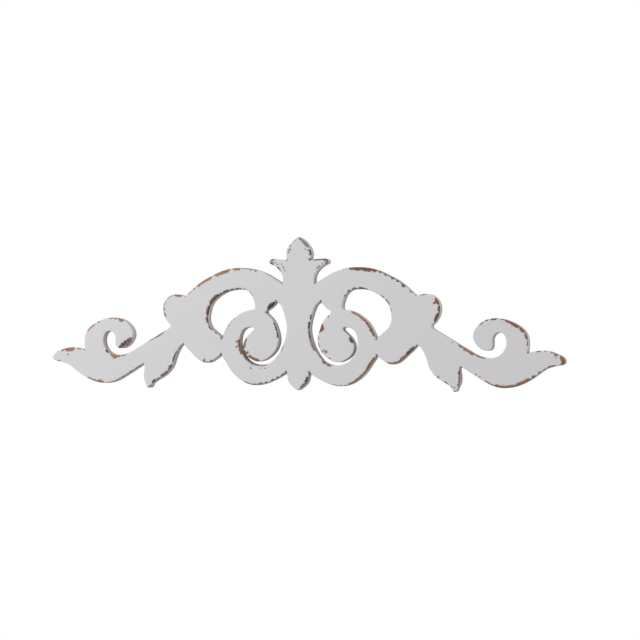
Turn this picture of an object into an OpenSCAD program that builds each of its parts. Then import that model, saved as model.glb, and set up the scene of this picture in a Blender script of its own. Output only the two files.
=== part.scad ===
// Door pediment: one flat board of scrollwork, cut right through, that hangs on a wall above a door.
// Millimetres. +Z is up and the front face looks toward -Y.
// The origin is on the back face, on the centre line, at mid height: the wall touches the plane y = 0.

/* [Board] */
// Width over the two tail tips
overall_w = 899; // [780:1:1100]
// Height from the foot of the drop to the top of the bud
overall_h = 254; // [205:1:310]
// Thickness of the board
board_t = 17.8; // [8:0.1:40]

/* [Crown] */
// Width of the bud
bud_w = 44; // [34:1:54]
// Height of the bud above the two notches at its foot
bud_h = 37.5; // [30:0.5:45]
// Span of the two crown leaves, tip to tip
leaf_span = 103; // [84:1:124]
// Height from the pits under the leaves to the notches of the bud
leaf_h = 39; // [32:1:47]

/* [Arch] */
// Fall from the top of the bud to the crest of each arch
crest_drop = 50.5; // [40:0.5:61]
// Distance from the centre line to each crest
crest_x = 110; // [88:1:132]
// Thickness of the arch over its opening
arch_t = 36; // [24:1:44]
// Width of the shoulder between the opening and the outside of the upper lobe
shoulder_w = 82; // [66:1:98]
// Reach of the upper lobe beyond the notch where the arch ends
lobe_w = 40.5; // [33:0.5:49]
// Height of the upper lobe
lobe_h = 50; // [40:1:60]

/* [Ring] */
// Width of the stem between the two crescent slots
stem_w = 39.6; // [30:0.2:48]
// Width across each crescent slot, from the stem to the ring
crescent_w = 84; // [70:1:96]
// Width of the narrow channel between the bulb and the ring
channel_w = 5.5; // [4:0.5:9]
// Thickness of the ring below the channel
ring_t = 34; // [27:1:41]
// Thickness of the web between the arch opening and the notch beside the ring
web_t = 26.5; // [18:0.5:32]
// Width of the drop at its notches
drop_w = 41; // [33:1:50]
// Height of the drop
drop_h = 29.5; // [24:0.5:36]

/* [Wing] */
// Width of the end curl
curl_w = 90.7; // [74:0.1:108]
// Height of the end curl above the underside of its knob
curl_h = 52.2; // [43:0.1:62]
// Width of the knob that ends the curl
knob_w = 32.5; // [26:0.5:38]
// Gap between the underside of the knob and the band
curl_gap = 11.8; // [8:0.1:14]
// Length of the tail beyond the curl
tail_l = 60; // [48:0.5:72]
// Thickness of the tail
tail_t = 27; // [21:0.5:32]
// Width of the hanging leaf
hang_w = 73; // [60:1:86]
// Height of the hanging leaf's tip above the foot of the drop
hang_lift = 1; // [0.5:0.5:8]

/* [Hidden] */

// Smoothness: the most an edge may turn, in degrees, and its greatest length.
turn_step = 6;
edge_max = 8;

// The layout grid is half a board, 449.5 wide and 127 above and below mid height. Notches, lobes and
// hollows that have no size of their own are set out on it, and it stretches with the overall sizes.
half_w = overall_w / 2;
half_h = overall_h / 2;
grid_x = half_w / 449.5;
grid_z = half_h / 127;

// A knot is [x, z, heading]: the outline passes through it in that direction, 0 to the right and 90 up.
function spot(x, z, heading = 0) = [x * grid_x, z * grid_z, heading];
// A place on an existing knot, left in another direction.
function leave(k, heading) = [k[0], k[1], heading];
// Knots given as parts of a box, with its corner at o and the size s.
function in_box(o, s, knots) = [for (k = knots) [o[0] + s[0] * k[0], o[1] + s[1] * k[1], k[2]]];
function last(list) = list[len(list) - 1];
function mirrored(points) = [for (i = [len(points) - 1:-1:0]) [-points[i][0], points[i][1]]];

// One smooth cubic from knot a to knot b. Between two knots of a circle it follows that circle.
function point(k) = [k[0], k[1]];
function direction(k) =
    let (d = [cos(k[2]) * grid_x, sin(k[2]) * grid_z])
    d / norm(d);
function turn_to(k, chord) = acos(max(-1, min(1, direction(k) * chord / norm(chord))));
function handle(turn, chord) = norm(chord) * 2 / (3 * (1 + cos(min(turn, 120))));
function cubic(p, q, r, s, t) =
    let (u = 1 - t)
    u * u * u * p + 3 * u * u * t * q + 3 * u * t * t * r + t * t * t * s;
function stretch(a, b) =
    let (
        chord = point(b) - point(a),
        turn_a = turn_to(a, chord),
        turn_b = turn_to(b, chord),
        steps = ceil(max((turn_a + turn_b) / turn_step, norm(chord) / edge_max)),
        q = point(a) + direction(a) * handle(turn_a, chord),
        r = point(b) - direction(b) * handle(turn_b, chord)
    )
    [for (i = [0:steps - 1]) cubic(point(a), q, r, point(b), i / steps)];
// The points along a list of knots, without the last one, which begins the next run.
function run(knots) = [for (i = [0:len(knots) - 2]) each stretch(knots[i], knots[i + 1])];
// The two knots of a straight edge from a to b.
function straight(a, b) =
    let (heading = atan2((b[1] - a[1]) / grid_z, (b[0] - a[0]) / grid_x))
    [leave(a, heading), leave(b, heading)];

// The outline runs clockwise down the right half, from the top of the bud to the foot of the drop.

// Crown: the side of the bud, then the leaf with its hollow underside and the pit below it.
bud = in_box([0, half_h - bud_h], [bud_w / 2, bud_h],
    [[0, 1, -24], [0.72, 0.65, -52], [1, 0.27, -88], [0.94, 0, -98]]);
leaf = concat([leave(last(bud), 1)], in_box([0, half_h - bud_h - leaf_h], [leaf_span / 2, leaf_h],
    [[0.78, 1.04, 0], [1, 0.92, -88], [0.87, 0.77, -156], [0.62, 0.49, -128], [0.53, 0.19, -98],
     [0.56, 0, -62]]));

// Arch: out of the pit, over the crest and down to the notch of the upper lobe.
pit = last(leaf);
crest = [crest_x, half_h - crest_drop, -2];
lobe_notch = spot(203, 29);
arch = concat([leave(pit, 24)],
    in_box(pit, crest - pit, [[0.27, 0.48, 31], [0.63, 0.91, 13]]), [crest],
    in_box(crest, lobe_notch - crest, [[0.43, 0.22, -27], [0.75, 0.57, -39], [1, 1, -42]]));

// Upper lobe, with a small round where it meets the band.
lobe = in_box(lobe_notch, [lobe_w, lobe_h],
    [[0, 0, 18], [0.42, 0.07, 0], [1, -0.42, -90], [0.8, -0.84, -128], [0.66, -0.99, -92],
     [0.72, -1.07, -30]]);

// The end curl fills the width that the tail leaves. Its box stands on the underside of the knob.
curl_o = [half_w - tail_l - curl_w, spot(0, -59.2)[1]];
curl_s = [curl_w, curl_h];
knob_side = knob_w / curl_w;
eye_side = 0.61;
band_low = [curl_o[0] + curl_w * 0.29, curl_o[1] - curl_gap, 0];
band_bend = [band_low[0] - curl_w * 0.28, band_low[1] + curl_gap * 0.62];
band = concat(straight(last(lobe), band_bend), [band_low]);
eye = concat([band_low], in_box(curl_o, curl_s,
    [[0.51, -0.11, 42], [eye_side, 0.26, 90], [(knob_side + eye_side) / 2, 0.56, 180],
     [knob_side, 0.33, 268], [knob_side, 0.14, 266], [knob_side * 0.74, 0, 180]]));
curl = concat([last(eye)], in_box(curl_o, curl_s,
    [[0.065, 0.18, 128], [0, 0.45, 90], [0.155, 0.87, 38], [0.43, 1, 0], [0.73, 0.865, -25],
     [0.915, 0.65, -46], [1, 0.25, -90], [0.99, -0.05, -95]]));

// Tail: along its back to the blunt tip, and back below into the belly.
tail = concat([leave(last(curl), 6)], in_box(last(curl), [half_w - last(curl)[0], tail_t],
    [[0.42, 0.13, -1], [0.77, -0.06, -26], [1, -0.52, -92], [0.86, -0.74, -171], [0.59, -0.87, -162],
     [0.25, -1.34, -143]]));
belly_low = spot(350, -119, 180);
wing_notch = spot(279, -86, 180);
belly = concat([last(tail), belly_low], straight(spot(318, -108.6), spot(287, -89.7)), [wing_notch]);

// Hanging leaf: down its straight side to the tip, and up its hollow side.
hang_tip = -half_h + hang_lift;
hang_notch = spot(205, -50.5, 152);
hang = concat([wing_notch], in_box([wing_notch[0] - hang_w, hang_tip], [hang_w, wing_notch[1] - hang_tip],
    [[0.965, 0.9, -86], [0.99, 0.52, -91], [0.94, 0.19, -117], [0.86, 0, 180], [0.79, 0.15, 120],
     [0.7, 0.29, 144], [0.54, 0.46, 147], [0.38, 0.69, 130], [0.25, 1.09, 105]]),
    [spot(213, -56.5, 124), hang_notch]);

// Lower lobe, ring and drop.
ring_notch = spot(137, -68);
ring_low = spot(75, -119.4, 180);
drop_notch = [drop_w / 2, drop_h - half_h, 0];
lower_lobe = in_box(ring_notch, hang_notch - ring_notch,
    [[1, 1, -122], [0.78, 0.1, -137], [0.38, -0.84, 180], [0.16, -0.47, 143], [0, 0, 128]]);
ring = concat(
    in_box(ring_low, ring_notch - ring_low, [[1, 1, -120], [0.8, 0.63, -121], [0.49, 0.22, -143]]),
    [ring_low],
    in_box(ring_low, drop_notch - ring_low, [[0.5, 0.3, 157], [1, 1, 143]]));
drop = in_box([0, -half_h], [drop_w / 2, drop_h],
    [[1, 1, -108], [0.86, 0.67, -93], [0.5, 0.24, -138], [0, 0, -156]]);

runs = [bud, leaf, arch, lobe, band, eye, curl, tail, belly, hang, lower_lobe, ring, drop];
right_half = [for (knots = runs) each run(knots)];
left_half = [for (p = mirrored(right_half)) if (p[0] < 0) p];
outline = concat(right_half, [[0, -half_h]], left_half);

// Opening under the arch: a broad bean that comes down to a point beside the ring.
bean_o = [spot(76.6, 0)[0], ring_notch[1] + web_t];
bean_s = [lobe_notch[0] + lobe_w - shoulder_w, crest[1] - arch_t] - bean_o;
bean = in_box(bean_o, bean_s,
    [[0.03, 0.59, 172], [0, 0.64, 90], [0.035, 0.8, 72], [0.14, 0.955, 38], [0.35, 1, 0],
     [0.63, 0.945, -23], [0.87, 0.78, -45], [0.965, 0.62, -74], [1, 0.41, -92], [0.94, 0.23, -124],
     [0.82, 0.12, -137], [0.7, 0, -130]]);
ring_top = in_box(bean_o, bean_s,
    [[0.7, 0, 110], [0.58, 0.25, 119], [0.335, 0.49, 147], [0.15, 0.57, 165], [0.03, 0.59, 172]]);

// Crescent slot round the bulb: down the stem and round inside the ring to the slot's blind end, then
// back round the bulb, a channel's width away, to the corner above it.
slot_o = [stem_w / 2, ring_low[1] + ring_t];
slot_s = [crescent_w, spot(0, 21.5)[1] - slot_o[1]];
slot_out = in_box(slot_o, slot_s,
    [[0.235, 1, -132], [0.115, 0.91, -117], [0.045, 0.76, -106], [0, 0.56, -90], [0.05, 0.37, -73],
     [0.25, 0.095, -50], [0.55, 0, 0], [0.84, 0.08, 43], [1, 0.36, 90], [0.94, 0.53, 126],
     [0.79, 0.587, 180]]);
slot_back = in_box(slot_o + [0, channel_w], slot_s - [channel_w, channel_w],
    [[0.745, 0.54, -95], [0.78, 0.5, -42], [0.96, 0.35, -62], [0.993, 0.24, -92], [0.82, 0.045, -152],
     [0.66, 0, 180], [0.3, 0.14, 133], [0.185, 0.37, 89], [0.24, 0.56, 72], [0.45, 0.78, 38],
     [0.478, 0.825, 90], [0.45, 0.845, 150], [0.3, 0.935, 130]]);
slot = concat(slot_out, slot_back, [leave(slot_out[0], 122)]);

// The board is cut from one flat panel, with two openings right through it on each side.
openings = [concat(run(bean), run(ring_top)), run(slot)];
module panel() {
    difference() {
        polygon(outline);
        for (opening = openings) {
            polygon(opening);
            polygon(mirrored(opening));
        }
    }
}

module pediment_board() {
    color("gainsboro")
        rotate([90, 0, 0])
            linear_extrude(board_t)
                panel();
}

pediment_board();
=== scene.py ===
"""Looks of the door pediment: a flat scrollwork board in chalky white paint, worn through at its edges.

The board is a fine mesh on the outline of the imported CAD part, with its edges rounded over. On the worn
stretches and spots listed below the paint is gone: the mesh is sanded down there, and the material shows
the dark base coat and the brown board. Outlines and wear are worked out in millimetres, in the CAD frame:
x to the right, z up, with the front face toward -y.
"""

import math

import bmesh
import bpy
import numpy as np
from mathutils import Matrix, Vector, geometry, kdtree


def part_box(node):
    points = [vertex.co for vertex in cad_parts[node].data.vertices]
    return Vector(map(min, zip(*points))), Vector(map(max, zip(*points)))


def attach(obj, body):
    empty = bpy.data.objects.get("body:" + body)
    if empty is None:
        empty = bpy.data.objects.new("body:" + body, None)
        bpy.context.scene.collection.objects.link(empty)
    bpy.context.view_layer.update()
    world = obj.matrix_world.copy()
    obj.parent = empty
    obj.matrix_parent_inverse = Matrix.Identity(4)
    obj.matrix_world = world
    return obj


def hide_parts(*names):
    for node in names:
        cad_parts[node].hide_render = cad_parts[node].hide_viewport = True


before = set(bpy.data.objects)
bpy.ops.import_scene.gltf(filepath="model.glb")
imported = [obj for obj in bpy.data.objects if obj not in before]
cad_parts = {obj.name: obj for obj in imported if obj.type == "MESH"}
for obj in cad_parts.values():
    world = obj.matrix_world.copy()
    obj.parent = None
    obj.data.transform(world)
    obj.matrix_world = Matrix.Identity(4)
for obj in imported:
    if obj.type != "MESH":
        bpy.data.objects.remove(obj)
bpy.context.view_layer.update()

MM = 0.001
NODE = "pediment_board"
BODY = "root"

low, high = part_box(NODE)
FRONT_Y = low.y / MM
BACK_Y = high.y / MM

# ---------------------------------------------------------------- wear, read as x, z in millimetres
# A worn stretch is (x from, z from, x to, z to, width, tone). It runs along the edge nearest to its ends.
# Tone 0 is bare orange-brown board, 0.5 brown, 1 the near-black base coat, and -1 base coat rubbed thin.
# In the rows of the left half, x is the distance to the left of the centre line.
WORN_RIGHT = [
    # bud and crown leaf
    (-1, 126, 8, 120, 2.8, 0.3), (5, 122, 17, 109, 4.2, -1), (19, 107, 21, 96, 2.6, 0.75),
    (25, 90, 43, 90, 1.8, 0.45), (42, 90, 53, 85, 4.6, 0.5), (54, 85, 46, 82, 1.3, 0.6),
    # arch
    (78, 72, 80, 73, 1.7, 0.6), (83, 73, 85, 74, 1.7, 0.5), (88, 75, 100, 76, 4.0, 0.6),
    (94, 76, 114, 76, 5.4, 0.6), (107, 76, 130, 73, 6.6, 0.6), (127, 74, 138, 70, 5.6, 0.6),
    (138, 70, 186, 43, 1.0, 0.6), (140, 69, 145, 68, 3.4, 0.65), (149, 66, 155, 63, 2.9, 0.5),
    (160, 61, 166, 58, 3.4, 0.65),
    (170, 55, 174, 52, 3.2, 0.6), (178, 49, 186, 43, 4.0, 0.6), (192, 38, 197, 34, 1.9, 0.4),
    # opening under the arch
    (82, 27, 83, 31, 1.8, 0.6), (85, 36, 90, 40, 1.8, 0.6), (92, 42, 103, 45, 2.0, 0.5),
    (103, 45, 115, 43, 3.0, 0.55), (114, 43, 122, 41, 1.5, 0.4), (142, 29, 149, 25, 1.6, 0.4),
    (151, 24, 159, 14, 2.4, 0.45), (161, 10, 163, 4, 1.7, 0.3),
    # ring
    (93, 4, 106, -2, 2.2, 0.3), (105, -2, 119, -11, 3.0, 0.3), (118, -11, 130, -24, 3.6, 0.35),
    (127, -22, 132, -30, 4.6, 0.55), (130, -28, 136, -38, 2.8, 0.4), (43, -78, 50, -85, 2.2, 0.4),
    (50, -85, 59, -87, 3.2, 0.35), (60, -119, 72, -119, 1.1, 0.3), (74, -119, 78, -119, 1.6, 0.3),
    (82, -119, 85, -118, 1.8, 0.3), (88, -118, 98, -113, 2.2, 0.2), (97, -113, 122, -92, 2.5, 0.3),
    (120, -93, 135, -72, 3.0, 0.45), (125, -86, 131, -77, 2.2, 0.85),
    # bulb and the stem beside it
    (51, -7, 55, -3, 3.3, 0.35), (41, -15, 38, -32, 7.2, 0.55), (36, -37, 36, -44, 2.4, 0.4),
    (37, -47, 39, -56, 2.0, 0.4), (40, -60, 42, -68, 2.0, 0.4), (53, -73, 58, -77, 2.4, 0.4),
    (91, -37, 98, -49, 4.2, 0.75), (22, -1, 20, -9, 1.9, 0.75), (18, -13, 18, -27, 2.1, 0.85),
    (18, -27, 20, -42, 1.9, 0.75), (20, -41, 31, -63, 2.4, -1),
    # drop
    (18, -104, 10, -114, 3.4, 0.8), (12, -112, 4, -124, 3.0, 0.35),
    # lobes
    (154, -80, 180, -78, 2.8, 0.3), (178, -79, 190, -69, 3.2, 0.4), (188, -70, 203, -53, 3.8, 0.62),
    (208, 28, 221, 31, 1.3, 0.3), (236, 27, 241, 14, 4.2, 0.55), (241, 14, 243, 2, 3.2, 0.6),
    (243, 3, 236, -16, 3.8, 0.65),
    # band and end curl
    (274, -49, 283, -55, 1.6, 0.5), (282, -54, 295, -62, 2.9, 0.4), (292, -61, 302, -67, 3.5, 0.35),
    (303, -67, 320, -71, 1.3, 0.35), (309, -18, 317, -12, 1.8, 0.45), (318, -11, 325, -9, 2.4, 0.8),
    (328, -8, 340, -7, 2.4, 0.8), (342, -7, 352, -9, 1.4, 0.5), (350, -9, 363, -13, 3.3, 0.5),
    (361, -13, 377, -22, 4.6, 0.55), (375, -20, 384, -30, 4.4, 0.5), (384, -30, 388, -42, 3.0, 0.5),
    (388, -44, 389, -52, 1.3, 0.4),
    # tail
    (403, -60, 411, -60, 2.0, 0.45), (416, -60, 420, -60, 2.0, 0.4), (426, -61, 431, -63, 1.9, 0.4),
    (431, -63, 439, -67, 3.4, 0.4), (440, -69, 443, -85, 6.4, 0.45), (435, -83, 421, -86, 1.6, 0.5),
    (419, -87, 414, -90, 1.2, 0.4), (411, -92, 406, -95, 1.7, 0.5), (403, -98, 396, -103, 2.8, 0.45),
    (396, -103, 368, -117, 4.0, 0.35), (369, -117, 334, -115, 3.8, 0.4), (335, -115, 318, -108, 1.9, 0.4),
    # hanging leaf
    (251, -110, 259, -115, 1.8, 0.4), (261, -116, 265, -120, 1.2, 0.4), (266, -126, 273, -125, 1.8, 0.4),
    (280, -91, 279, -100, 1.9, 0.6), (279, -99, 275, -118, 2.0, 0.35),
]
WORN_LEFT = [
    # bud and crown leaf
    (1, 126, 11, 118, 1.0, 0.2), (13, 115, 16, 111, 2.0, 0.45), (18, 109, 19, 104, 1.5, 0.5),
    (41, 90, 52, 87, 3.6, 0.4), (52, 87, 43, 82, 3.2, 0.6), (38, 79, 31, 71, 2.3, 0.8),
    # arch
    (73, 69, 79, 71, 2.4, 0.6), (80, 73, 100, 75, 1.3, 0.35), (101, 76, 118, 75, 3.8, 0.25),
    (120, 76, 152, 64, 5.7, 0.25), (154, 64, 182, 46, 4.4, 0.25), (184, 44, 190, 39, 1.9, 0.6),
    (191, 38, 199, 31, 1.4, 0.5),
    # opening under the arch
    (92, 42, 98, 44, 2.2, 0.3), (99, 44, 112, 42, 2.0, 0.6), (112, 42, 122, 40, 1.6, 0.5),
    (122, 40, 135, 34, 2.2, 0.8), (134, 34, 141, 30, 2.5, 0.6), (139, 31, 157, 13, 4.2, 0.6),
    (156, 14, 163, -5, 3.6, 0.62), (163, -5, 161, -18, 2.8, 0.55), (160, -19, 150, -28, 2.0, 0.35),
    (149, -29, 143, -34, 1.2, 0.4), (80, 28, 85, 38, 1.3, 0.3),
    # ring
    (110, -10, 130, -31, 1.2, 0.3), (131, -33, 137, -39, 1.2, 0.3), (105, -43, 105, -58, 3.0, 0.5),
    (104, -57, 98, -68, 3.2, 0.45), (97, -70, 84, -81, 0.9, 0.5), (84, -81, 52, -87, 1.6, 0.5),
    (24, -99, 30, -103, 1.0, 0.8), (33, -104, 38, -108, 2.2, 0.8), (41, -110, 48, -113, 1.7, 0.6),
    (52, -116, 58, -118, 1.9, 0.4), (60, -118, 71, -119, 2.9, 0.25), (71, -119, 82, -118, 1.9, 0.4),
    (82, -118, 95, -114, 1.5, 0.4),
    # bulb, arm end and stem
    (93, -38, 97, -60, 4.4, 0.35), (95, -60, 89, -68, 3.2, 0.5), (88, -69, 66, -80, 4.8, 0.42),
    (43, -15, 39, -30, 1.3, 0.85), (39, -30, 36, -41, 1.4, 0.85), (43, 20, 54, 7, 5.4, 1.0),
    (25, -52, 29, -63, 1.9, 0.45),
    # lobes
    (149, -80, 168, -82, 1.5, 0.4), (183, -74, 186, -72, 1.2, 0.4), (208, 30, 224, 31, 3.3, 0.3),
    (225, 31, 238, 25, 1.9, 0.45), (240, 23, 242, 13, 1.6, 0.6), (243, 12, 243, 2, 3.5, 0.2),
    (243, 2, 239, -7, 2.9, 0.25),
    # band and end curl
    (238, -29, 244, -32, 1.6, 0.3), (243, -32, 260, -41, 3.0, 0.35), (260, -41, 269, -46, 1.6, 0.3),
    (309, -70, 323, -71, 1.7, 0.35), (321, -71, 342, -70, 3.4, 0.3), (325, -71, 338, -70, 7.0, 0.25),
    (343, -68, 349, -61, 3.2, 0.6), (315, -12, 327, -8, 4.8, 0.2), (327, -8, 345, -7, 1.9, 0.3),
    (361, -13, 366, -15, 1.9, 0.4), (369, -17, 384, -30, 2.9, 0.25), (322, -60, 300, -41, 0.4, 0.5),
    # tail
    (395, -60, 403, -59, 1.3, 0.4), (407, -59, 428, -62, 6.4, 0.3), (427, -62, 434, -65, 3.4, 0.35),
    (436, -66, 440, -68, 1.4, 0.4), (433, -84, 440, -85, 1.4, 0.6), (403, -96, 406, -94, 1.2, 0.6),
    (384, -110, 366, -118, 2.3, 0.3), (367, -118, 351, -119, 4.6, 0.2), (350, -119, 312, -105, 0.4, 0.6),
    (312, -105, 284, -90, 0.2, 0.6),
    # hanging leaf
    (218, -63, 223, -84, 1.1, 0.65), (225, -86, 232, -98, 3.4, 0.5), (232, -98, 246, -108, 3.1, 0.5),
    (247, -109, 254, -113, 1.3, 0.5), (254, -113, 262, -119, 2.9, 0.85), (263, -122, 272, -125, 1.7, 0.5),
]
# A worn spot away from the edge is (x, z, radius, tone).
SPOTS_RIGHT = [
    (12, 107, 0.9, 0.6), (17, 105, 1.0, 0.6), (18.5, 89.5, 1.2, 0.3), (48, 82.5, 1.6, 0.6),
    (37, 79.3, 1.3, 0.9), (35, 76.3, 1.2, 0.9), (33, 75.9, 1.1, 0.9), (42, 82, 1.1, 0.7),
    (121, 70.5, 1.3, 0.6), (127, 69, 1.3, 0.6), (103, 71, 1.2, 0.7), (234.5, 17, 2.2, 0.5),
    (265, -46, 1.0, 0.7), (49.5, -62.7, 2.2, 0.4), (46, -61, 1.2, 0.4), (47, -67, 1.1, 0.5),
    (55, -75.3, 1.4, 0.5), (435, -70.5, 1.1, 0.5), (304, -98, 1.1, 0.6), (311, -101.7, 1.3, 0.6),
    (241.5, -102.5, 1.4, 0.4), (269, -119.5, 1.1, 0.7),
]
SPOTS_LEFT = [
    (15, 106, 1.4, 0.5), (17.5, 102, 0.9, 0.6), (37, 82, 1.2, 0.8), (41, 84.5, 1.3, 0.6),
    (30, 82, 0.9, 0.8), (27, 77.7, 0.9, 0.8), (25, 74.5, 1.0, 0.8), (23, 71.4, 0.9, 0.8),
    (89, -65, 1.9, 0.5), (84, -72, 1.8, 0.5), (167, -78.5, 2.4, 0.3), (65, -91, 1.0, 0.5),
    (58, -91, 1.0, 0.5), (83, -91, 1.4, 0.6), (420, -70.5, 1.4, 0.4), (109, -47, 1.5, 0.8),
    (109, -56, 1.4, 0.8), (303, -43.5, 2.8, 0.6), (307, -46.5, 3.9, 0.6), (312, -50, 4.2, 0.65),
    (317, -53.5, 4.0, 0.9), (321.5, -56.5, 2.8, 0.9), (308, -49.5, 3.0, 0.3),
]
# Dark dots in the sharp inner corners, where the saw cuts end, are (x, z, radius), and lie on both sides:
# painted shade in the notch, partly its bare unpainted recess.
CORNER_SHADE = [
    (21, 90, 3.2), (29, 50.5, 2.4), (20.5, -97, 3.8), (136.5, -67, 3.0), (136, -42, 2.6),
    (389.5, -61, 2.6), (39.5, 22, 2.4), (61, 1, 2.0), (203, 29, 1.6), (205, -50, 1.6), (279.5, -86, 2.2),
]

# ---------------------------------------------------------------- mesh sizes, in millimetres and degrees
STEP = 1.15               # spacing of the points along an edge
SHARP_TURN = 14.0         # an outline that turns by more than this has a corner that stays sharp
FAN_TURN = 22.0           # spacing of the points that fan out round an inner corner
CREASE = 40.0             # two faces that meet at more than this keep a crisp edge
FRONT_GRID = 4.2          # spacing of the points over the open face, and their margin along its edges
FRONT_MARGIN = 4.4
BACK_GRID = 9.0           # the same on the back
BACK_MARGIN = 5.0
WEAR_MARGIN = 2.0         # least distance of both from a worn stretch
SPOT_STEP = 0.8           # spacing of the points over a worn spot
SPOT_MARGIN = 0.4         # least distance of those points from the edge
LEAST_GAP = 0.34          # of two points closer together than this, one is dropped
TINY = 0.01               # allowed for rounding

# Distances from the edge at which rows of points follow it: over the rounded front edge, further in
# beside the wide worn stretches, and over the rounded back edge.
ROUND_LAYERS = (0.3, 0.7, 1.15, 1.7, 2.4, 3.3)
WEAR_LAYERS = (4.2, 5.1, 6.1, 7.2, 8.4)
BACK_LAYERS = (0.35, 1.0, 1.9, 3.0)
BESIDE_WEAR = 2.2         # a row of WEAR_LAYERS runs only where the wear comes this near to it
LAYER_SHARE = 0.94        # a point nearer to some edge than this share of its row's distance is dropped

# How far the rows of points down the wall lie below the foot of the rounded front edge.
WALL_ROWS = (0.4, 0.9, 1.6, 2.6, 4.2, 6.4, 9.0, 11.6)
WALL_FOOT = 0.6           # least distance of the wall's rows above the rounded back edge

FRONT_RADIUS = 1.5        # round of the front edge where it isn't worn
RADIUS_RIPPLE = 0.25      # how much that varies along the edge
RADIUS_WAVE = 46          # length of its ripple
RADIUS_SEED = 3
BACK_RADIUS = 2.0         # round of the back edge
WORN_ROUNDING = 0.22      # how much more the edge is rounded for each millimetre of wear
PAINT_STEP = 0.28         # depth of the sanded hollow below the paint
HOLLOW_SIDE = (-0.5, 0.6)  # the wear at which the hollow starts, and at which it is at its full depth

# The wear field says how many millimetres a point lies inside a worn patch. Outside one it is negative.
NO_WEAR = -2.6            # the wear field away from every worn patch
RAGGED_BITE = 0.4         # added to a worn stretch's width, for what the ragged border takes off
WEAR_END = 2.4            # a worn stretch narrows over this length at each end, or over its own width
WALL_FALL = 3.4           # how much faster the wear dies away down the wall than across the face
BACK_RUB = -0.5           # middle of the wear field at the back's edge, which leaves a few small spots
BACK_RIPPLE = 0.9         # how much that varies along the edge
BACK_WAVE = 70            # length of its ripple
BACK_SEED = 8
PLAIN_TONE = 0.4          # tone where no worn stretch sets one

# Painted shade in the narrow channels, where little light gets in, goes by how shut in an edge point is.
# Each is (distance, share). An edge point is shut in by the share of the last one of these for which the
# board goes on at that distance straight out from it.
SHUT_IN = ((28, 0.03), (22, 0.06), (16, 0.12), (11, 0.28), (7, 0.55))
SHUT_IN_BLUR = 5          # rounds of averaging that smooth it along the edge
RIGHT_SHADE_SHARE = 0.35        # the painted shade in the right half's narrow channels, as a share of the left half's
CORNER_SHADE_CORE = 0.2           # share of a shaded corner's radius that is dark all over
WALL_CORNER_SHADE = 0.8           # painted corner shade down the wall, as a share of that at its top


# ---------------------------------------------------------------- outline
def front_loops(obj):
    """The closed edges of the CAD part's front face, as lists of (x, z), with the board on the left."""
    mesh = obj.data
    mesh.calc_loop_triangles()
    at = np.array([v.co for v in mesh.vertices]) / MM
    triangles = np.array([t.vertices for t in mesh.loop_triangles])
    triangles = triangles[(at[triangles, 1] < FRONT_Y + TINY).all(axis=1)]
    flat, index = np.unique(np.round(at[:, [0, 2]], 4), axis=0, return_inverse=True)
    index = index.ravel()
    sides = {(a, b) for t in index[triangles] for a, b in zip(t, np.roll(t, -1))}
    follows = {a: b for a, b in sides if (b, a) not in sides}
    loops = []
    while follows:
        start = min(follows)
        loop = [start]
        while follows[loop[-1]] != start:
            loop.append(follows.pop(loop[-1]))
        follows.pop(loop[-1])
        loops.append(flat[loop])
    return loops


def curved(loop):
    """Points STEP apart on a smooth curve through a loop's own points, and which are sharp corners."""
    leaving, arriving, length, sharp = directions(loop)
    points, corners = [], []
    for i in range(len(loop)):
        j = (i + 1) % len(loop)
        steps = max(1, round(length[i] / STEP))
        points.append(bend(loop[i], loop[j], leaving[i], arriving[j], length[i], steps))
        corners += [sharp[i]] + [False] * (steps - 1)
    return np.concatenate(points), np.array(corners)


def directions(loop):
    """How a smooth curve leaves and reaches each point of a loop, the sides' lengths and the corners."""
    ahead = np.roll(loop, -1, axis=0) - loop
    behind = np.roll(ahead, 1, axis=0)
    length = np.linalg.norm(ahead, axis=1)
    length_behind = np.roll(length, 1)
    cross = behind[:, 0] * ahead[:, 1] - behind[:, 1] * ahead[:, 0]
    turn = np.degrees(np.arctan2(cross, (behind * ahead).sum(axis=1)))
    sharp = np.abs(turn) > SHARP_TURN
    straight_on = ahead / length[:, None]
    straight_in = behind / length_behind[:, None]
    share = (length_behind / (length + length_behind))[:, None]
    smooth = straight_on * share + straight_in * (1 - share)
    leaving = np.where(sharp[:, None], straight_on, smooth)
    arriving = np.where(sharp[:, None], straight_in, smooth)
    return leaving, arriving, length, sharp


def bend(start, end, leaving, arriving, length, steps):
    """Points on a Hermite curve from one place to another, without its end."""
    t = (np.arange(steps) / steps)[:, None]
    from_start = (2 * t**3 - 3 * t**2 + 1) * start + (t**3 - 2 * t**2 + t) * length * leaving
    from_end = (3 * t**2 - 2 * t**3) * end + (t**3 - t**2) * length * arriving
    return from_start + from_end


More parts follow.
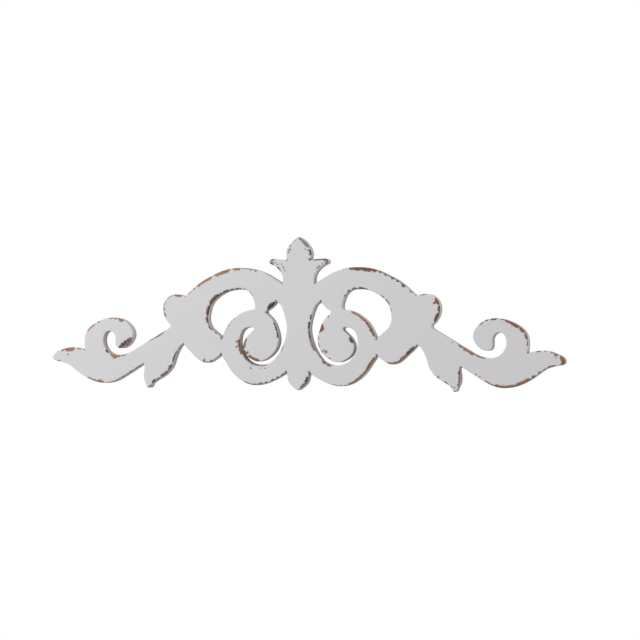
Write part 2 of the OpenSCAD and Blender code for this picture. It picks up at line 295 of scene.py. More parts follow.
class Outline:
    """All the edges of the board's face as one list of points, with what is known at each of them.

    at is a point's place, after and before are its neighbours' numbers, gap is the distance to the one
    after it, and out is the direction straight out of the board."""

    def __init__(self, loops):
        made = [curved(loop) for loop in loops]
        self.at = np.concatenate([points for points, _ in made])
        self.sharp = np.concatenate([corners for _, corners in made])
        self.after = np.concatenate(list(self._numbers(made, -1)))
        self.before = np.concatenate(list(self._numbers(made, 1)))
        self.gap = np.linalg.norm(self.at[self.after] - self.at, axis=1)
        side = (self.at[self.after] - self.at) / self.gap[:, None]
        self.out_ahead = np.stack([side[:, 1], -side[:, 0]], axis=1)
        self.out_behind = self.out_ahead[self.before]
        middle = self.out_ahead + self.out_behind
        self.out = middle / np.linalg.norm(middle, axis=1)[:, None]
        self.tree = kdtree.KDTree(len(self.at))
        for i, (x, z) in enumerate(self.at):
            self.tree.insert((x, z, 0), i)
        self.tree.balance()
        self.wear = np.full(len(self.at), NO_WEAR)
        self.tone = np.full(len(self.at), PLAIN_TONE)

    @staticmethod
    def _numbers(made, shift):
        """The number of the point before or after each one, going round each loop by itself."""
        start = 0
        for points, _ in made:
            yield np.roll(np.arange(start, start + len(points)), shift)
            start += len(points)

    def nearest(self, x, z):
        return self.tree.find((x, z, 0))[1]

    def distance(self, points):
        """Each point's distance to the outline, and the number of the outline point nearest to it.

        The distance is measured to the two sides that meet at that outline point."""
        near = np.array([self.nearest(x, z) for x, z in points])
        best = np.full(len(points), np.inf)
        for first in (near, self.before[near]):
            a, b = self.at[first], self.at[self.after[first]]
            along = ((points - a) * (b - a)).sum(axis=1) / self.gap[first] ** 2
            foot = a + (b - a) * along.clip(0, 1)[:, None]
            best = np.minimum(best, np.linalg.norm(points - foot, axis=1))
        return best, near

    def path(self, first, final):
        """The outline points from one to another, the shorter way, and the steps past its two ends."""
        found = []
        for onward, back in ((self.after, self.before), (self.before, self.after)):
            way = [first]
            while way[-1] != final:
                way.append(onward[way[-1]])
            found.append((way, back, onward))
        return min(found, key=lambda one: len(one[0]))

    def wear_down(self, x1, z1, x2, z2, width, tone):
        """Marks a stretch of the edge as worn. It narrows at its ends, and past them wear falls off."""
        width += RAGGED_BITE
        way, back, onward = self.path(self.nearest(x1, z1), self.nearest(x2, z2))
        gaps = np.linalg.norm(np.diff(self.at[way], axis=0), axis=1)
        along = np.concatenate([[0], np.cumsum(gaps)])
        end = min(max(WEAR_END, width), along[-1] / 2 + TINY)
        narrowing = np.minimum(along, along[-1] - along) / end
        widths = dict(zip(way, width * np.sqrt(narrowing.clip(0, 1))))
        for tip, step in ((way[0], back), (way[-1], onward)):
            for i, far in self.beyond(tip, step):
                widths.setdefault(i, -far)
        for i, here in widths.items():
            if here > self.wear[i]:
                self.wear[i] = here
                self.tone[i] = tone

    def beyond(self, tip, step):
        """The outline points past a tip, and how far off each is, until no wear is left."""
        far, i = 0.0, tip
        while far < -NO_WEAR:
            far += np.linalg.norm(self.at[step[i]] - self.at[i])
            i = step[i]
            yield i, far


def both_sides(right, left, x_columns):
    """The rows of a right-hand list, and those of a left-hand one with their x places turned round."""
    turned = [tuple(-v if column in x_columns else v for column, v in enumerate(row)) for row in left]
    return list(right) + turned


# ---------------------------------------------------------------- points over the board
def inward_points(outline, layers):
    """Points inside the board, a row at each given distance from its edges, kept off narrow places.

    The rows that lie furthest in have half as many points."""
    kept = []
    for depth in layers:
        rows = np.arange(len(outline.at))
        if depth > ROUND_LAYERS[-1]:
            rows = rows[outline.wear > depth - BESIDE_WEAR]
        if depth > ROUND_LAYERS[-2]:
            rows = rows[::2]
        places = [outline.at[rows] - outline.out[rows] * depth]
        for i in rows[outline.sharp[rows]]:
            places.append(fan(outline, i, depth))
        places = np.concatenate(places)
        distance, _ = outline.distance(places)
        kept.append(places[distance > depth * LAYER_SHARE])
    return np.concatenate(kept)


def fan(outline, i, depth):
    """Points round an inner corner, at one distance from it."""
    a, b = outline.out_behind[i], outline.out_ahead[i]
    turn = math.degrees(math.atan2(a[0] * b[1] - a[1] * b[0], a @ b))
    steps = int(abs(turn) // FAN_TURN)
    if turn >= 0 or steps == 0:
        return np.empty((0, 2))
    angles = math.atan2(a[1], a[0]) + np.radians(turn) * np.arange(steps + 1) / steps
    return outline.at[i] - depth * np.stack([np.cos(angles), np.sin(angles)], axis=1)


def lattice(outline, spacing, margin):
    """A triangular lattice of points inside the board, kept off its edges and its worn stretches."""
    lo, hi = outline.at.min(axis=0), outline.at.max(axis=0)
    rows = np.arange(lo[1], hi[1], spacing * math.sqrt(3) / 2)
    places = np.array([(x + spacing / 2 * (n % 2), z)
                       for n, z in enumerate(rows)
                       for x in np.arange(lo[0], hi[0], spacing)])
    places = places[inside(outline, places)]
    distance, near = outline.distance(places)
    return places[distance > np.maximum(margin, outline.wear[near] + WEAR_MARGIN)]


def inside(outline, places, at_once=2000):
    """Which places lie on the board: those with an odd number of edges straight above them.

    They are tested so many at once, to save memory."""
    a, b = outline.at, outline.at[outline.after]
    odd = np.zeros(len(places), bool)
    for part in np.array_split(np.arange(len(places)), max(1, len(places) // at_once)):
        x, z = places[part, 0][:, None], places[part, 1][:, None]
        spans = (a[:, 0] > x) != (b[:, 0] > x)
        with np.errstate(divide="ignore", invalid="ignore"):
            height = a[:, 1] + (x - a[:, 0]) * (b[:, 1] - a[:, 1]) / (b[:, 0] - a[:, 0])
        odd[part] = (spans & (height > z)).sum(axis=1) % 2 == 1
    return odd


def spot_points(outline, spots):
    """A small cluster of points over each worn spot, so that the mesh can carry it."""
    places = []
    for x, z, radius, _ in spots:
        for ring in np.arange(0, radius + 2 * SPOT_STEP, SPOT_STEP):
            count = max(1, round(2 * math.pi * ring / SPOT_STEP))
            angles = np.arange(count) * 2 * math.pi / count + ring
            places.append(np.stack([x + ring * np.cos(angles), z + ring * np.sin(angles)], axis=1))
    places = np.concatenate(places)
    places = places[inside(outline, places)]
    return places[outline.distance(places)[0] > SPOT_MARGIN]


def thinned(points, spacing):
    """Points without those closer than the spacing to one that comes before them."""
    cells, kept = {}, []
    for i, p in enumerate(points):
        cx, cz = int(p[0] // spacing), int(p[1] // spacing)
        around = [q for dx in (-1, 0, 1)
                  for dz in (-1, 0, 1)
                  for q in cells.get((cx + dx, cz + dz), ())]
        if all((p[0] - q[0]) ** 2 + (p[1] - q[1]) ** 2 > spacing**2 for q in around):
            cells.setdefault((cx, cz), []).append(p)
            kept.append(i)
    return points[kept]


def filled(outline, inner, same_place=1e-6):
    """Triangles over the board's face, through its edge points and then the inner points."""
    points = np.concatenate([outline.at, inner])
    edges = list(zip(range(len(outline.at)), outline.after.tolist()))
    _, _, faces, origins, _, _ = geometry.delaunay_2d_cdt(
        [Vector(p) for p in points.tolist()], edges, [], 0, same_place)
    number = [o[0] for o in origins]
    triangles = np.array([[number[v] for v in face] for face in faces])
    return triangles[inside(outline, points[triangles].mean(axis=1))]


# ---------------------------------------------------------------- shape and marks at each point
def rounded(distance, radius):
    """How far a rounded edge has dropped below the face, at a distance from the edge."""
    reach = np.clip(radius - distance, 0, None)
    return radius - np.sqrt(radius**2 - reach**2)


def smoothstep(value, start, end):
    t = ((value - start) / (end - start)).clip(0, 1)
    return t * t * (3 - 2 * t)


def wavy(points, wavelength, seed, waves=5):
    """A slow, smooth ripple between about -1 and 1, the same each time."""
    random = np.random.default_rng(seed)
    total = np.zeros(len(points))
    for _ in range(waves):
        angle, phase = random.uniform(0, 2 * math.pi, 2)
        wave = 2 * math.pi / (wavelength * random.uniform(0.7, 1.4))
        across = points[:, 0] * math.cos(angle) + points[:, 1] * math.sin(angle)
        total += np.sin(across * wave + phase)
    return total / 3


def edge_radius(outline):
    """The round of the front edge at each outline point, a little uneven and larger where worn."""
    even = FRONT_RADIUS + RADIUS_RIPPLE * wavy(outline.at, RADIUS_WAVE, RADIUS_SEED)
    return even + WORN_ROUNDING * outline.wear.clip(0, None)


def hollow(wear):
    """How deep the mesh is sanded down below the paint."""
    return PAINT_STEP * smoothstep(wear, *HOLLOW_SIDE)


def front_wear(outline, points, distance, near, spots):
    """Wear and tone over the face, from the worn stretches of its edge and the worn spots."""
    wear = outline.wear[near] - distance
    tone = outline.tone[near].copy()
    for x, z, radius, spot_tone in spots:
        into = radius - np.hypot(points[:, 0] - x, points[:, 1] - z)
        tone = np.where(into > wear, spot_tone, tone)
        wear = np.maximum(wear, into)
    return wear.clip(NO_WEAR, None), tone


def narrowness(outline):
    """How shut in each edge point is: 0 with open space before it, and more with the board close by. It
    sets the painted shade in narrow channels.
    """
    shut = np.zeros(len(outline.at))
    for reach, value in SHUT_IN:
        shut[inside(outline, outline.at + outline.out * reach)] = value
    for _ in range(SHUT_IN_BLUR):
        shut = (shut[outline.after] + shut + shut[outline.before]) / 3
    return shut


def shade_in_corners(outline, points):
    """How much painted shade each point gets in the inner corners, centred on the edge point nearest to
    each listed corner.
    """
    corner_shade = np.zeros(len(points))
    for x, z, radius in CORNER_SHADE:
        for side in (-1, 1):
            corner = outline.at[outline.nearest(side * x, z)]
            far = np.linalg.norm(points - corner, axis=1)
            corner_shade = np.maximum(corner_shade, 1 - smoothstep(far, CORNER_SHADE_CORE * radius, radius))
    return corner_shade


# ---------------------------------------------------------------- the board's mesh
# What the paint reads at each point: the wear, the tone of what it bares, painted shade in the inner
# corners, how far down the wall the point is (its rear gets painted shade), painted shade by how shut in
# it is, and whether it is on the back.
MARKS = ("wear", "tone", "corner_shade", "wall", "channel_shade", "back")
WALL_AT_RIM = 0.15        # the wall mark along the edge of the face
WALL_AT_TOP = 0.3         # the wall mark at the top of the wall, which grows to 1 at its foot
WALL_AT_BACK = 0.9        # the wall mark along the edge of the back, which gives painted shade there
WALL_LOSS = 0.4           # how much of that is lost further in
WALL_LOSS_REACH = 3       # the millimetres over which it is lost
CHANNEL_SHADE_AT_TOP = 0.3         # share of a channel's painted shade at the top of its wall
CHANNEL_SHADE_GROWTH = 6           # millimetres down the wall over which another whole share is added


class Skin:
    """Part of the board's surface: its points, and the marks at each of them. Marks not given are 0."""

    def __init__(self, flat, y, **marks):
        self.places = np.stack([flat[:, 0], y, flat[:, 1]], axis=1)
        self.marks = {name: np.zeros(len(flat)) + marks.get(name, 0) for name in MARKS}


def build_board():
    """The whole board as one closed mesh: worn face, wall all round and plain back."""
    outline = Outline(front_loops(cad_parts[NODE]))
    for stretch in both_sides(WORN_RIGHT, WORN_LEFT, x_columns=(0, 2)):
        outline.wear_down(*stretch)
    spots = both_sides(SPOTS_RIGHT, SPOTS_LEFT, x_columns=(0,))
    radius = edge_radius(outline)
    front, front_faces = front_skin(outline, radius, spots)
    back, back_faces = back_skin(outline)
    skins = [front, *wall_skins(outline, radius), back]
    starts = np.cumsum([0] + [len(skin.places) for skin in skins[:-1]])
    return board_object(skins, [front_faces, *wall_faces(outline, starts), back_faces + starts[-1]])


def front_skin(outline, radius, spots):
    """The worn face with its rounded edge, and its triangles. The outline's points come first in it."""
    layers = inward_points(outline, ROUND_LAYERS + WEAR_LAYERS)
    clusters = spot_points(outline, spots)
    field = lattice(outline, FRONT_GRID, FRONT_MARGIN)
    inner = thinned(np.concatenate([layers, clusters, field]), LEAST_GAP)
    flat = np.concatenate([outline.at, inner])
    on_rim = np.arange(len(flat)) < len(outline.at)
    distance, near = outline.distance(flat)
    wear, tone = front_wear(outline, flat, distance, near, spots)
    y = FRONT_Y + rounded(distance, radius[near]) + hollow(wear)
    y[on_rim] = FRONT_Y + radius
    # Painted shade in the sharp inner corners.
    corner_shade = shade_in_corners(outline, flat)
    skin = Skin(flat, y, wear=wear, tone=tone, corner_shade=corner_shade, wall=on_rim * WALL_AT_RIM)
    return skin, filled(outline, inner)


def wall_skins(outline, radius):
    """The wall's rows of points, from just below the rounded front edge to just above the back's."""
    # Painted shade in the narrow channels, with less of it in the right half, and in the sharp inner
    # corners.
    half_share = np.where(outline.at[:, 0] > 0, RIGHT_SHADE_SHARE, 1)
    channel_shade = narrowness(outline) * half_share
    corner_shade = shade_in_corners(outline, outline.at) * WALL_CORNER_SHADE
    lowest = BACK_Y - BACK_RADIUS - WALL_FOOT
    skins = []
    for drop in WALL_ROWS:
        y = np.minimum(FRONT_Y + radius + drop, lowest)
        wear = (outline.wear - WALL_FALL * drop).clip(NO_WEAR, None)
        flat = outline.at - outline.out * hollow(wear)[:, None]
        wall = WALL_AT_TOP + (1 - WALL_AT_TOP) * drop / WALL_ROWS[-1]
        row_channel_shade = channel_shade * min(1, CHANNEL_SHADE_AT_TOP + drop / CHANNEL_SHADE_GROWTH)
        skins.append(Skin(flat, y, wear=wear, tone=outline.tone, corner_shade=corner_shade, wall=wall, channel_shade=row_channel_shade))
    return skins


def back_skin(outline):
    """The plain back with its rounded edge, and its triangles. The outline's points come first in it."""
    layers = inward_points(outline, BACK_LAYERS)
    field = lattice(outline, BACK_GRID, BACK_MARGIN)
    inner = thinned(np.concatenate([layers, field]), LEAST_GAP)
    flat = np.concatenate([outline.at, inner])
    on_rim = np.arange(len(flat)) < len(outline.at)
    distance = np.where(on_rim, 0, outline.distance(flat)[0])
    y = BACK_Y - rounded(distance, BACK_RADIUS)
    rub = BACK_RUB + BACK_RIPPLE * wavy(flat, BACK_WAVE, BACK_SEED) - distance
    wear = np.where(on_rim, NO_WEAR, rub).clip(NO_WEAR, None)
    wall = WALL_AT_BACK - WALL_LOSS * smoothstep(distance, 0, WALL_LOSS_REACH)
    skin = Skin(flat, y, wear=wear, tone=PLAIN_TONE, wall=wall, back=smoothstep(distance, 0, 1))
    return skin, filled(outline, inner)[:, ::-1]


def wall_faces(outline, starts):
    """Strips of four-sided faces between rows of outline points, whose first numbers are the starts."""
    rows = [start + np.arange(len(outline.at)) for start in starts]
    return [np.stack([upper, lower, lower[outline.after], upper[outline.after]], axis=1)
            for upper, lower in zip(rows, rows[1:])]


def board_object(skins, faces):
    """One mesh object from the skins' points, with their marks as attributes that the paint reads."""
    mesh = bpy.data.meshes.new("worn_board")
    places = np.concatenate([skin.places for skin in skins])
    mesh.from_pydata((places * MM).tolist(), [], [face for part in faces for face in part.tolist()])
    for name in MARKS:
        layer = mesh.attributes.new(name, "FLOAT", "POINT")
        values = np.concatenate([skin.marks[name] for skin in skins])
        layer.data.foreach_set("value", values.astype(np.float32))
    mesh.validate()
    board = bpy.data.objects.new("worn_board", mesh)
    bpy.context.scene.collection.objects.link(board)
    smooth_faces(mesh)
    return board


def smooth_faces(mesh):
    """Smooth shading, with a crease wherever two faces meet at more than CREASE degrees."""
    shape = bmesh.new()
    shape.from_mesh(mesh)
    bmesh.ops.recalc_face_normals(shape, faces=shape.faces)
    for face in shape.faces:
        face.smooth = True
    for edge in shape.edges:
        edge.smooth = not edge.is_manifold or edge.calc_face_angle(0) < math.radians(CREASE)
    shape.to_mesh(mesh)
    shape.free()


# ---------------------------------------------------------------- paint
PAINT_COOL = (0.626, 0.626, 0.642, 1)
PAINT_WARM = (0.640, 0.624, 0.632, 1)
PAINT_WALL = (0.620, 0.590, 0.560, 1)
# Painted shade toward the rear of the walls and round the edge of the back.
PAINT_REAR_SHADE = (0.500, 0.475, 0.455, 1)
# Painted shade in the narrow channels.
PAINT_CHANNEL_SHADE = (0.300, 0.270, 0.255, 1)
# Painted shade in the sharp inner corners.
PAINTED_CORNER_SHADE = (0.045, 0.040, 0.040, 1)
BASE_BROWN = (0.155, 0.086, 0.066, 1)
BASE_BLACK = (0.046, 0.037, 0.043, 1)
BOARD_LIGHT = (0.360, 0.182, 0.100, 1)
BOARD_DARK = (0.225, 0.090, 0.028, 1)
BOARD_AGED = (0.130, 0.055, 0.028, 1)

# Noise is (waves to the metre, detail, roughness). Streaks have waves to the metre along x, y and z.
COARSE_TEETH = (230, 1, 0.5)
FINE_TEETH = (520, 2, 0.6)
CRUMBS = (900, 1, 0.5)
PATCHES = (420, 3, 0.65)
CLOUDS = (13, 4, 0.55)
GRAIN = (520, 3, 0.6)
BRUSH_STREAKS = ((9, 60, 150), 5, 0.6)
BROAD_STREAKS = ((6, 20, 48), 3, 0.55)
WOOD_STREAKS = ((120, 300, 420), 4, 0.6)

# Lengths in the plane of the surface, in millimetres.
COARSE_TOOTH = 3.0        # height of the coarse teeth of a ragged border
FINE_TOOTH = 4.4          # height of the fine ones
PATCH_TOOTH = 3.4         # height of the teeth where the base coat gives way to bare board
COAT_LEAST = 0.15         # width of the base coat's rim round bare board at tone 0
COAT_MORE = 6.5           # how much wider that rim is at tone 1
COAT_CURVE = 2.6          # power by which it widens with the tone
COAT_RUBBED = 9.0         # how much wider it is where the base coat is only rubbed thin

# Ramps are (from, to), or (from, to, low, high). These go by the depth inside the ragged border, in
# millimetres, and the pits by the wear.
PAINT_EDGE = (-0.10, 0.14)
BARE_EDGE = (-0.2, 0.35)
FLAKE_DEPTH = (2.6, 0.8)
PIT_WEAR = (-2.3, -0.9)
# These go by noise, between 0 and 1.
FLAKE_CRUMBS = (0.60, 0.66)
PIT_CRUMBS = (0.36, 0.32)
WARM_CLOUDS = (0.35, 0.65)
STREAK_SHADE = (0.25, 0.75, 0.985, 1.012)
SPECK_SHADE = (0.25, 0.75, 0.98, 1.015)
BACK_SHADE = (0.3, 0.7, -0.06, 0.04)
WALL_CLOUDS = (0.3, 0.7, 0.7, 1.0)
CORNER_SHADE_GRAIN = (0.3, 0.6, 0.6, 1.0)
WOOD_FIGURE = (0.3, 0.7, -0.35, 0.35)
# These go by the wall mark.
WALL_GREY = (0.1, 0.9)
REAR_SHADE_RANGE = (0.55, 0.95)
# These go by the tone.
RUBBED_TONE = (-0.2, -0.8)
BLACK_TONE = (0.45, 0.95)
BROWN_TONE = (0.1, 0.6)
AGED_TONE = (0.48, 0.68)
RUBBED_PAINT = 0.2        # share of paint left in the base coat where it is rubbed thin

# Depths for the bump, in millimetres.
BRUSH_RELIEF = 0.10
GRAIN_RELIEF = 0.05
PAINT_THICKNESS = 0.22
COAT_THICKNESS = 0.10
BUMP_STRENGTH = 0.8

PAINT_ROUGHNESS = 0.80
BARE_ROUGHNESS = 0.62
SPECULAR = 0.3
REFRACTION = 1.45


class Nodes:
    """A short way to write a node tree."""

    def __init__(self, tree):
        self.tree = tree
        tree.nodes.clear()

    def add(self, kind, inputs=None, **settings):
        node = self.tree.nodes.new(kind)
        for name, value in settings.items():
            setattr(node, name, value)
        for name, value in (inputs or {}).items():
            self.feed(node.inputs[name], value)
        return node

    def feed(self, socket, value):
        if isinstance(value, bpy.types.NodeSocket):
            self.tree.links.new(value, socket)
        else:
            socket.default_value = value

    def maths(self, operation, *values, clamp=False):
        node = self.add("ShaderNodeMath", operation=operation, use_clamp=clamp)
        for socket, value in zip(node.inputs, values):
            self.feed(socket, value)
        return node.outputs[0]

    def plus(self, a, b, clamp=False):
        return self.maths("ADD", a, b, clamp=clamp)

    def minus(self, a, b):
        return self.maths("SUBTRACT", a, b)

    def times(self, a, b):
        return self.maths("MULTIPLY", a, b)

    def times_plus(self, a, b, more):
        return self.maths("MULTIPLY_ADD", a, b, more)

    def larger(self, a, b, clamp=False):
        return self.maths("MAXIMUM", a, b, clamp=clamp)

    def mark(self, name):
        return self.add("ShaderNodeAttribute", attribute_name=name).outputs["Fac"]

    def noise(self, place, scale, detail, roughness):
        node = self.add("ShaderNodeTexNoise", {
            "Vector": place, "Scale": scale, "Detail": detail, "Roughness": roughness})
        return node.outputs["Fac"]

    def teeth(self, place, noise, height):
        """Noise about zero, of a height in millimetres."""
        return self.times(self.minus(self.noise(place, *noise), 0.5), height)

    def streaks(self, place, stretch, detail, roughness):
        stretched = self.add("ShaderNodeMapping", {"Vector": place, "Scale": stretch}).outputs[0]
        return self.noise(stretched, 1.0, detail, roughness)

    def ramp(self, value, start, end, low=0.0, high=1.0, curve="SMOOTHSTEP"):
        """From low to high as the value goes from start to end, and level outside them."""
        node = self.add("ShaderNodeMapRange", {
            "Value": value, "From Min": start, "From Max": end, "To Min": low, "To Max": high},
            interpolation_type=curve)
        return node.outputs["Result"]

    def mix(self, share, a, b, blend="MIX"):
        node = self.add("ShaderNodeMix", data_type="RGBA", blend_type=blend)
        self.feed(node.inputs["Factor"], share)
        self.feed(node.inputs[6], a)
        self.feed(node.inputs[7], b)
        return node.outputs[2]


def paint_material():
    """Chalky white paint over a dark base coat over brown board, worn through where the mesh says."""
    material = bpy.data.materials.new("worn_paint")
    material.use_nodes = True
    n = Nodes(material.node_tree)
    place = n.add("ShaderNodeTexCoord").outputs["Object"]
    depth = ragged_depth(n, place)
    paint_gone = where_paint_is_gone(n, place, depth)
    rubbed = n.ramp(n.mark("tone"), *RUBBED_TONE)
    bare = where_board_is_bare(n, place, depth, rubbed)
    brushed = n.streaks(place, *BRUSH_STREAKS)
    grain = n.noise(place, *GRAIN)
    paint = paint_colour(n, place, brushed, grain)
    exposed = exposed_colour(n, place, bare, rubbed)
    height = relief(n, brushed, grain, paint_gone, bare)
    bump = n.add("ShaderNodeBump", {"Height": height, "Distance": MM, "Strength": BUMP_STRENGTH})
    shader = n.add("ShaderNodeBsdfPrincipled", {
        "Base Color": n.mix(paint_gone, paint, exposed),
        "Roughness": n.ramp(paint_gone, 0, 1, PAINT_ROUGHNESS, BARE_ROUGHNESS, "LINEAR"),
        "Normal": bump.outputs[0],
        "Specular IOR Level": SPECULAR,
        "IOR": REFRACTION})
    n.add("ShaderNodeOutputMaterial", {"Surface": shader.outputs[0]})
    return material


def ragged_depth(n, place):
    """How far inside a worn patch a point lies, in millimetres, with a ragged border."""
    coarse = n.teeth(place, COARSE_TEETH, COARSE_TOOTH)
    fine = n.teeth(place, FINE_TEETH, FINE_TOOTH)
    return n.plus(n.mark("wear"), n.plus(coarse, fine))


def where_paint_is_gone(n, place, depth):
    """Inside the ragged border, but for flakes that hold on near it, and in small pits outside it."""
    crumbs = n.noise(place, *CRUMBS)
    flakes = n.times(n.ramp(crumbs, *FLAKE_CRUMBS), n.ramp(depth, *FLAKE_DEPTH))
    pits = n.times(n.ramp(crumbs, *PIT_CRUMBS), n.ramp(n.mark("wear"), *PIT_WEAR))
    return n.larger(n.minus(n.ramp(depth, *PAINT_EDGE), flakes), pits, clamp=True)


def where_board_is_bare(n, place, depth, rubbed):
    """Further inside a worn patch than the rim of base coat, which is wide where the tone is dark."""
    dark = n.maths("POWER", n.larger(n.mark("tone"), 0.0), COAT_CURVE)
    coat_width = n.times_plus(dark, COAT_MORE, COAT_LEAST)
    coat_width = n.times_plus(rubbed, COAT_RUBBED, coat_width)
    patchy = n.teeth(place, PATCHES, PATCH_TOOTH)
    return n.ramp(n.plus(n.minus(depth, coat_width), patchy), *BARE_EDGE)


def paint_colour(n, place, brushed, grain):
    """Faint brush marks, cloudy warm and cool, greyer down the walls, with painted shade toward their
    rear, in the narrow channels and in the inner corners.
    """
    clouds = n.noise(place, *CLOUDS)
    colour = n.mix(n.ramp(clouds, *WARM_CLOUDS), PAINT_COOL, PAINT_WARM)
    streak = n.ramp(brushed, *STREAK_SHADE, "LINEAR")
    speck = n.ramp(grain, *SPECK_SHADE, "LINEAR")
    broad = n.ramp(n.streaks(place, *BROAD_STREAKS), *BACK_SHADE, "LINEAR")
    shade = n.times_plus(n.mark("back"), broad, n.times(streak, speck))
    tint = n.add("ShaderNodeCombineColor", {"Red": shade, "Green": shade, "Blue": shade}).outputs[0]
    colour = n.mix(1.0, colour, tint, "MULTIPLY")
    wall = n.mark("wall")
    wall_share = n.times(n.ramp(wall, *WALL_GREY), n.ramp(clouds, *WALL_CLOUDS))
    colour = n.mix(wall_share, colour, PAINT_WALL)
    # Painted shade toward the rear of the walls.
    colour = n.mix(n.ramp(wall, *REAR_SHADE_RANGE), colour, PAINT_REAR_SHADE)
    # Painted shade in the narrow channels.
    colour = n.mix(n.mark("channel_shade"), colour, PAINT_CHANNEL_SHADE)
    # Painted shade in the sharp inner corners, broken up by the grain.
    corner_shade_share = n.times(n.mark("corner_shade"), n.ramp(grain, *CORNER_SHADE_GRAIN))
    return n.mix(corner_shade_share, colour, PAINTED_CORNER_SHADE)


def exposed_colour(n, place, bare, rubbed):
    """What shows where the paint has gone: base coat, brown to black, and board, orange to brown."""
    tone = n.mark("tone")
    base = n.mix(n.ramp(tone, *BLACK_TONE), BASE_BROWN, BASE_BLACK)
    base = n.mix(n.times(rubbed, RUBBED_PAINT), base, PAINT_WARM)
    figure = n.ramp(n.streaks(place, *WOOD_STREAKS), *WOOD_FIGURE, "LINEAR")
    wood = n.mix(n.plus(n.ramp(tone, *BROWN_TONE), figure, clamp=True), BOARD_LIGHT, BOARD_DARK)
    wood = n.mix(n.ramp(tone, *AGED_TONE), wood, BOARD_AGED)
    return n.mix(bare, base, wood)


def relief(n, brushed, grain, paint_gone, bare):
    """Height for the bump: brush marks and grain on the paint, and the steps down through both coats."""
    height = n.plus(n.times(brushed, BRUSH_RELIEF), n.times(grain, GRAIN_RELIEF))
    height = n.times(height, n.minus(1.0, paint_gone))
    height = n.minus(height, n.times(paint_gone, PAINT_THICKNESS))
    return n.minus(height, n.times(bare, COAT_THICKNESS))


# ---------------------------------------------------------------- camera, light and floor
CAMERA_TURN = 19.046      # degrees to the right of straight in front
CAMERA_BELOW = 0.803      # degrees that the view looks up
CAMERA_ROLL = 0.394       # degrees
CAMERA_RANGE = 3.3862     # metres from the point aimed at
CAMERA_AIM = (0.0325, 0.0, -0.0102)
LENS = 114.76             # focal length and sensor width in millimetres
SENSOR = 36

# A lamp is its place and width in metres, and its power in watts. Each points at the origin.
FRONT_LAMP = ((-1.45, -2.2, 0.9), 1.6, 39.4)
SIDE_LAMP = ((2.6, -0.42, 0.5), 1.2, 9)
LIGHT_FROM_BELOW = 0.32   # the world's strength as light, straight below and straight above
LIGHT_FROM_ABOVE = 0.82
WHITE = (1, 1, 1, 1)

FLOOR_DROP = 0.62         # metres from the board's foot down to the floor
FLOOR_REACH = 1.15        # radius of the floor in metres
FLOOR_FADE = 0.6          # share of the radius at which the floor starts to fade out
FLOOR_SEEN = (0.86, 0.86, 0.86, 1)
FLOOR_AS_LIGHT = (0.40, 0.40, 0.40, 1)


def make_camera():
    camera = bpy.data.objects.new("camera", bpy.data.cameras.new("camera"))
    bpy.context.scene.collection.objects.link(camera)
    camera.data.lens = LENS
    camera.data.sensor_width = SENSOR
    turn, below = math.radians(CAMERA_TURN), math.radians(CAMERA_BELOW)
    level = math.cos(below)
    away = Vector((math.sin(turn) * level, -math.cos(turn) * level, -math.sin(below)))
    aim = (-away).to_track_quat("-Z", "Y").to_matrix().to_4x4()
    roll = Matrix.Rotation(math.radians(CAMERA_ROLL), 4, "Z")
    camera.matrix_world = Matrix.Translation(Vector(CAMERA_AIM) + away * CAMERA_RANGE) @ aim @ roll
    bpy.context.scene.camera = camera


def make_lamp(name, place, width, power):
    lamp = bpy.data.objects.new(name, bpy.data.lights.new(name, "AREA"))
    bpy.context.scene.collection.objects.link(lamp)
    lamp.data.shape = "DISK"
    lamp.data.size = width
    lamp.data.energy = power
    lamp.location = place
    lamp.rotation_euler = (-Vector(place)).to_track_quat("-Z", "Y").to_euler()


def seen(n):
    """1 for what is seen, directly, in a gloss or through glass, and 0 for what only gives light."""
    ray = n.add("ShaderNodeLightPath").outputs
    return n.larger(n.larger(ray["Is Camera Ray"], ray["Is Glossy Ray"]), ray["Is Transmission Ray"])


def blend_shaders(n, share, first, second):
    both = n.add("ShaderNodeMixShader", {"Fac": share})
    n.feed(both.inputs[1], first.outputs[0])
    n.feed(both.inputs[2], second.outputs[0])
    return both.outputs[0]


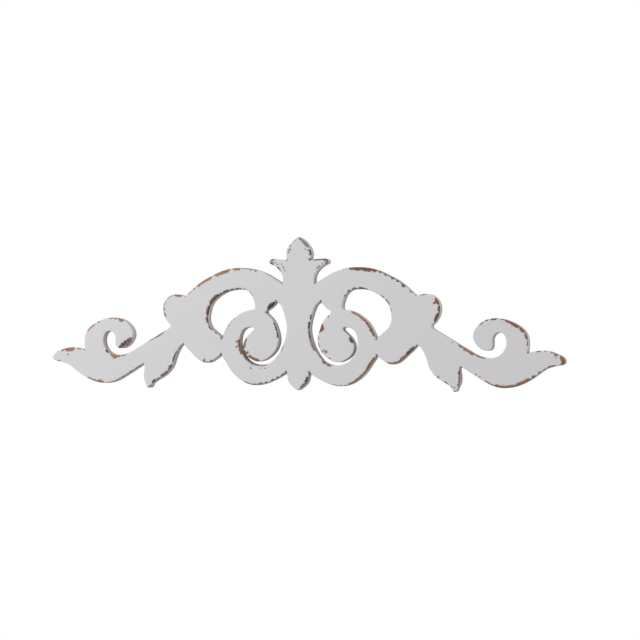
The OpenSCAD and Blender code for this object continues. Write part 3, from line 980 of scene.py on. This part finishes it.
def make_world():
    """White to the camera; for light, brighter above than below."""
    world = bpy.data.worlds.new("studio")
    bpy.context.scene.world = world
    world.use_nodes = True
    n = Nodes(world.node_tree)
    toward = n.add("ShaderNodeTexCoord").outputs["Generated"]
    up = n.add("ShaderNodeSeparateXYZ", {"Vector": toward}).outputs["Z"]
    level = n.ramp(up, -1, 1, LIGHT_FROM_BELOW, LIGHT_FROM_ABOVE, "LINEAR")
    light = n.add("ShaderNodeBackground", {"Color": WHITE, "Strength": level})
    white = n.add("ShaderNodeBackground", {"Color": WHITE, "Strength": 1.0})
    n.add("ShaderNodeOutputWorld", {"Surface": blend_shaders(n, seen(n), light, white)})


def make_floor():
    """A round pale floor well below the board, which fades out into the white round it."""
    shape = bmesh.new()
    bmesh.ops.create_circle(shape, cap_ends=True, radius=FLOOR_REACH, segments=96)
    mesh = bpy.data.meshes.new("floor")
    shape.to_mesh(mesh)
    shape.free()
    mesh.materials.append(floor_material())
    floor = bpy.data.objects.new("floor", mesh)
    bpy.context.scene.collection.objects.link(floor)
    floor.location.z = low.z - FLOOR_DROP
    return floor


def floor_material():
    material = bpy.data.materials.new("floor_white")
    material.use_nodes = True
    n = Nodes(material.node_tree)
    place = n.add("ShaderNodeTexCoord").outputs["Object"]
    far = n.add("ShaderNodeVectorMath", {0: place}, operation="LENGTH").outputs["Value"]
    fade = n.ramp(far, FLOOR_REACH * FLOOR_FADE, FLOOR_REACH)
    pale = n.add("ShaderNodeBsdfDiffuse", {"Color": n.mix(seen(n), FLOOR_AS_LIGHT, FLOOR_SEEN)})
    clear = n.add("ShaderNodeBsdfTransparent")
    n.add("ShaderNodeOutputMaterial", {"Surface": blend_shaders(n, fade, pale, clear)})
    return material


# ---------------------------------------------------------------- the scene
bpy.context.scene.view_settings.view_transform = "Standard"
make_camera()
make_world()
make_lamp("front_lamp", *FRONT_LAMP)
make_lamp("side_lamp", *SIDE_LAMP)
make_floor()

board = build_board()
board.data.materials.append(paint_material())
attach(board, BODY)
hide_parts(NODE)
